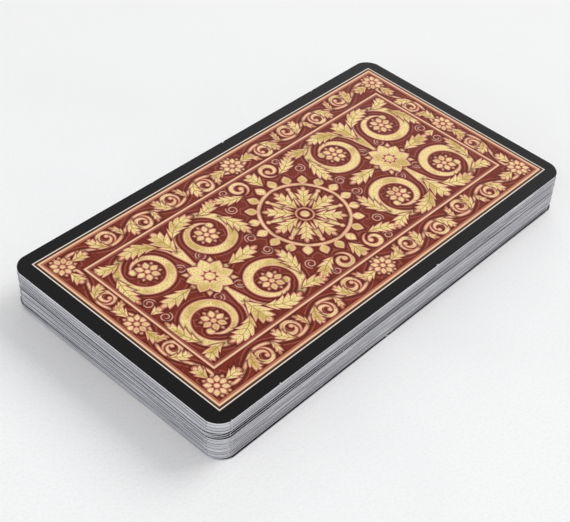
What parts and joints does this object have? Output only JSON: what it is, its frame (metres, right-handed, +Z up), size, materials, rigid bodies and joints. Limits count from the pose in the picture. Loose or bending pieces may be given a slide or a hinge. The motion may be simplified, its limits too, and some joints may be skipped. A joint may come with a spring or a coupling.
{
  "type": "tarot card deck",
  "caption": "Deck of long playing cards with round corners and an ornamental back, stacked back-up. The deck fans from one corner, is cut by lifting its upper half, and deals its top card.",
  "frame": {"origin": "on the table, on the bottom card's underside, under the middle of the top card", "axes": "+X along the cards, +Y across them, +Z up out of the table"},
  "size_m": [0.1217, 0.0659, 0.0111],
  "materials": {
    "card_stock": "satin",
    "printed_back": "satin"
  },
  "bodies": {
    "bottom_card": {"bottom_card": "card_stock"},
    "card_02": {"card_02": "card_stock"},
    "card_03": {"card_03": "card_stock"},
    "card_04": {"card_04": "card_stock"},
    "card_05": {"card_05": "card_stock"},
    "card_06": {"card_06": "card_stock"},
    "card_07": {"card_07": "card_stock"},
    "card_08": {"card_08": "card_stock"},
    "card_09": {"card_09": "card_stock"},
    "card_10": {"card_10": "card_stock"},
    "card_11": {"card_11": "card_stock"},
    "card_12": {"card_12": "card_stock"},
    "card_13": {"card_13": "card_stock"},
    "card_14": {"card_14": "card_stock"},
    "card_15": {"card_15": "card_stock"},
    "card_16": {"card_16": "card_stock"},
    "card_17": {"card_17": "card_stock"},
    "card_18": {"card_18": "card_stock"},
    "card_19": {"card_19": "card_stock"},
    "card_20": {"card_20": "card_stock"},
    "card_21": {"card_21": "card_stock"},
    "card_22": {"card_22": "card_stock"},
    "card_23": {"card_23": "card_stock"},
    "card_24": {"card_24": "card_stock"},
    "card_25": {"card_25": "card_stock"},
    "card_26": {"card_26": "card_stock"},
    "card_27": {"card_27": "card_stock"},
    "card_28": {"card_28": "card_stock"},
    "card_29": {"card_29": "card_stock"},
    "card_30": {"card_30": "card_stock"},
    "card_31": {"card_31": "card_stock"},
    "card_32": {"card_32": "card_stock"},
    "card_33": {"card_33": "card_stock"},
    "card_34": {"card_34": "card_stock"},
    "card_35": {"card_35": "card_stock"},
    "top_card": {"top_card": "printed_back"}
  },
  "joints": [
    {"name": "card_02_fan", "type": "hinge", "parent": "bottom_card", "child": "card_02", "pos_m": [-0.05572, -0.02822, 0.00046], "axis": [0, 0, 1], "range_deg": [0, 4]},
    {"name": "card_03_fan", "type": "hinge", "parent": "bottom_card", "child": "card_03", "pos_m": [-0.05566, -0.02821, 0.00077], "axis": [0, 0, 1], "range_deg": [0, 8]},
    {"name": "card_04_fan", "type": "hinge", "parent": "bottom_card", "child": "card_04", "pos_m": [-0.05577, -0.02812, 0.00108], "axis": [0, 0, 1], "range_deg": [0, 12]},
    {"name": "card_05_fan", "type": "hinge", "parent": "bottom_card", "child": "card_05", "pos_m": [-0.05585, -0.02807, 0.00139], "axis": [0, 0, 1], "range_deg": [0, 16]},
    {"name": "card_06_fan", "type": "hinge", "parent": "bottom_card", "child": "card_06", "pos_m": [-0.05583, -0.02798, 0.0017], "axis": [0, 0, 1], "range_deg": [0, 20]},
    {"name": "card_07_fan", "type": "hinge", "parent": "bottom_card", "child": "card_07", "pos_m": [-0.05581, -0.02796, 0.00201], "axis": [0, 0, 1], "range_deg": [0, 24]},
    {"name": "card_08_fan", "type": "hinge", "parent": "bottom_card", "child": "card_08", "pos_m": [-0.05576, -0.02793, 0.00232], "axis": [0, 0, 1], "range_deg": [0, 28]},
    {"name": "card_09_fan", "type": "hinge", "parent": "bottom_card", "child": "card_09", "pos_m": [-0.05584, -0.02786, 0.00263], "axis": [0, 0, 1], "range_deg": [0, 32]},
    {"name": "card_10_fan", "type": "hinge", "parent": "bottom_card", "child": "card_10", "pos_m": [-0.05589, -0.02791, 0.00294], "axis": [0, 0, 1], "range_deg": [0, 36]},
    {"name": "card_11_fan", "type": "hinge", "parent": "bottom_card", "child": "card_11", "pos_m": [-0.05584, -0.02788, 0.00325], "axis": [0, 0, 1], "range_deg": [0, 40]},
    {"name": "card_12_fan", "type": "hinge", "parent": "bottom_card", "child": "card_12", "pos_m": [-0.05589, -0.02793, 0.00356], "axis": [0, 0, 1], "range_deg": [0, 44]},
    {"name": "card_13_fan", "type": "hinge", "parent": "bottom_card", "child": "card_13", "pos_m": [-0.05597, -0.02786, 0.00387], "axis": [0, 0, 1], "range_deg": [0, 48]},
    {"name": "card_14_fan", "type": "hinge", "parent": "bottom_card", "child": "card_14", "pos_m": [-0.05588, -0.02791, 0.00418], "axis": [0, 0, 1], "range_deg": [0, 52]},
    {"name": "card_15_fan", "type": "hinge", "parent": "bottom_card", "child": "card_15", "pos_m": [-0.05597, -0.02788, 0.00449], "axis": [0, 0, 1], "range_deg": [0, 56]},
    {"name": "card_16_fan", "type": "hinge", "parent": "bottom_card", "child": "card_16", "pos_m": [-0.05592, -0.02785, 0.0048], "axis": [0, 0, 1], "range_deg": [0, 60]},
    {"name": "card_17_fan", "type": "hinge", "parent": "bottom_card", "child": "card_17", "pos_m": [-0.05597, -0.02786, 0.00511], "axis": [0, 0, 1], "range_deg": [0, 64]},
    {"name": "deck_cut", "type": "slide", "parent": "card_17", "child": "card_18", "axis": [0, 0, 1], "range_m": [0, 0.06]},
    {"name": "card_19_fan", "type": "hinge", "parent": "card_18", "child": "card_19", "pos_m": [-0.05596, -0.02788, 0.00573], "axis": [0, 0, 1], "range_deg": [0, 4]},
    {"name": "card_20_fan", "type": "hinge", "parent": "card_18", "child": "card_20", "pos_m": [-0.05605, -0.02785, 0.00604], "axis": [0, 0, 1], "range_deg": [0, 8]},
    {"name": "card_21_fan", "type": "hinge", "parent": "card_18", "child": "card_21", "pos_m": [-0.05592, -0.02759, 0.00635], "axis": [0, 0, 1], "range_deg": [0, 12]},
    {"name": "card_22_fan", "type": "hinge", "parent": "card_18", "child": "card_22", "pos_m": [-0.05597, -0.0273, 0.00666], "axis": [0, 0, 1], "range_deg": [0, 16]},
    {"name": "card_23_fan", "type": "hinge", "parent": "card_18", "child": "card_23", "pos_m": [-0.05602, -0.02701, 0.00697], "axis": [0, 0, 1], "range_deg": [0, 20]},
    {"name": "card_24_fan", "type": "hinge", "parent": "card_18", "child": "card_24", "pos_m": [-0.0559, -0.02679, 0.00728], "axis": [0, 0, 1], "range_deg": [0, 24]},
    {"name": "card_25_fan", "type": "hinge", "parent": "card_18", "child": "card_25", "pos_m": [-0.05595, -0.02645, 0.00759], "axis": [0, 0, 1], "range_deg": [0, 28]},
    {"name": "card_26_fan", "type": "hinge", "parent": "card_18", "child": "card_26", "pos_m": [-0.05596, -0.02624, 0.0079], "axis": [0, 0, 1], "range_deg": [0, 32]},
    {"name": "card_27_fan", "type": "hinge", "parent": "card_18", "child": "card_27", "pos_m": [-0.05612, -0.0278, 0.00821], "axis": [0, 0, 1], "range_deg": [0, 36]},
    {"name": "card_28_fan", "type": "hinge", "parent": "card_18", "child": "card_28", "pos_m": [-0.05617, -0.02785, 0.00852], "axis": [0, 0, 1], "range_deg": [0, 40]},
    {"name": "card_29_fan", "type": "hinge", "parent": "card_18", "child": "card_29", "pos_m": [-0.05612, -0.02778, 0.00883], "axis": [0, 0, 1], "range_deg": [0, 44]},
    {"name": "card_30_fan", "type": "hinge", "parent": "card_18", "child": "card_30", "pos_m": [-0.05621, -0.02775, 0.00914], "axis": [0, 0, 1], "range_deg": [0, 48]},
    {"name": "card_31_fan", "type": "hinge", "parent": "card_18", "child": "card_31", "pos_m": [-0.05626, -0.0278, 0.00945], "axis": [0, 0, 1], "range_deg": [0, 52]},
    {"name": "card_32_fan", "type": "hinge", "parent": "card_18", "child": "card_32", "pos_m": [-0.0562, -0.02777, 0.00976], "axis": [0, 0, 1], "range_deg": [0, 56]},
    {"name": "card_33_fan", "type": "hinge", "parent": "card_18", "child": "card_33", "pos_m": [-0.05625, -0.02777, 0.01007], "axis": [0, 0, 1], "range_deg": [0, 60]},
    {"name": "card_34_fan", "type": "hinge", "parent": "card_18", "child": "card_34", "pos_m": [-0.05634, -0.02775, 0.01038], "axis": [0, 0, 1], "range_deg": [0, 64]},
    {"name": "card_35_fan", "type": "hinge", "parent": "card_18", "child": "card_35", "pos_m": [-0.05625, -0.02779, 0.01069], "axis": [0, 0, 1], "range_deg": [0, 68]},
    {"name": "top_card_deal", "type": "slide", "parent": "card_35", "child": "top_card", "axis": [0, -1, 0], "range_m": [0, 0.066]}
  ],
  "couplings": [
    {"joint": "card_02_fan", "follows": "card_17_fan", "ratio": 0.0625},
    {"joint": "card_03_fan", "follows": "card_17_fan", "ratio": 0.125},
    {"joint": "card_04_fan", "follows": "card_17_fan", "ratio": 0.1875},
    {"joint": "card_05_fan", "follows": "card_17_fan", "ratio": 0.25},
    {"joint": "card_06_fan", "follows": "card_17_fan", "ratio": 0.3125},
    {"joint": "card_07_fan", "follows": "card_17_fan", "ratio": 0.375},
    {"joint": "card_08_fan", "follows": "card_17_fan", "ratio": 0.4375},
    {"joint": "card_09_fan", "follows": "card_17_fan", "ratio": 0.5},
    {"joint": "card_10_fan", "follows": "card_17_fan", "ratio": 0.5625},
    {"joint": "card_11_fan", "follows": "card_17_fan", "ratio": 0.625},
    {"joint": "card_12_fan", "follows": "card_17_fan", "ratio": 0.6875},
    {"joint": "card_13_fan", "follows": "card_17_fan", "ratio": 0.75},
    {"joint": "card_14_fan", "follows": "card_17_fan", "ratio": 0.8125},
    {"joint": "card_15_fan", "follows": "card_17_fan", "ratio": 0.875},
    {"joint": "card_16_fan", "follows": "card_17_fan", "ratio": 0.9375},
    {"joint": "card_19_fan", "follows": "card_17_fan", "ratio": 0.0625},
    {"joint": "card_20_fan", "follows": "card_17_fan", "ratio": 0.125},
    {"joint": "card_21_fan", "follows": "card_17_fan", "ratio": 0.1875},
    {"joint": "card_22_fan", "follows": "card_17_fan", "ratio": 0.25},
    {"joint": "card_23_fan", "follows": "card_17_fan", "ratio": 0.3125},
    {"joint": "card_24_fan", "follows": "card_17_fan", "ratio": 0.375},
    {"joint": "card_25_fan", "follows": "card_17_fan", "ratio": 0.4375},
    {"joint": "card_26_fan", "follows": "card_17_fan", "ratio": 0.5},
    {"joint": "card_27_fan", "follows": "card_17_fan", "ratio": 0.5625},
    {"joint": "card_28_fan", "follows": "card_17_fan", "ratio": 0.625},
    {"joint": "card_29_fan", "follows": "card_17_fan", "ratio": 0.6875},
    {"joint": "card_30_fan", "follows": "card_17_fan", "ratio": 0.75},
    {"joint": "card_31_fan", "follows": "card_17_fan", "ratio": 0.8125},
    {"joint": "card_32_fan", "follows": "card_17_fan", "ratio": 0.875},
    {"joint": "card_33_fan", "follows": "card_17_fan", "ratio": 0.9375},
    {"joint": "card_34_fan", "follows": "card_17_fan", "ratio": 1},
    {"joint": "card_35_fan", "follows": "card_17_fan", "ratio": 1.0625}
  ]
}
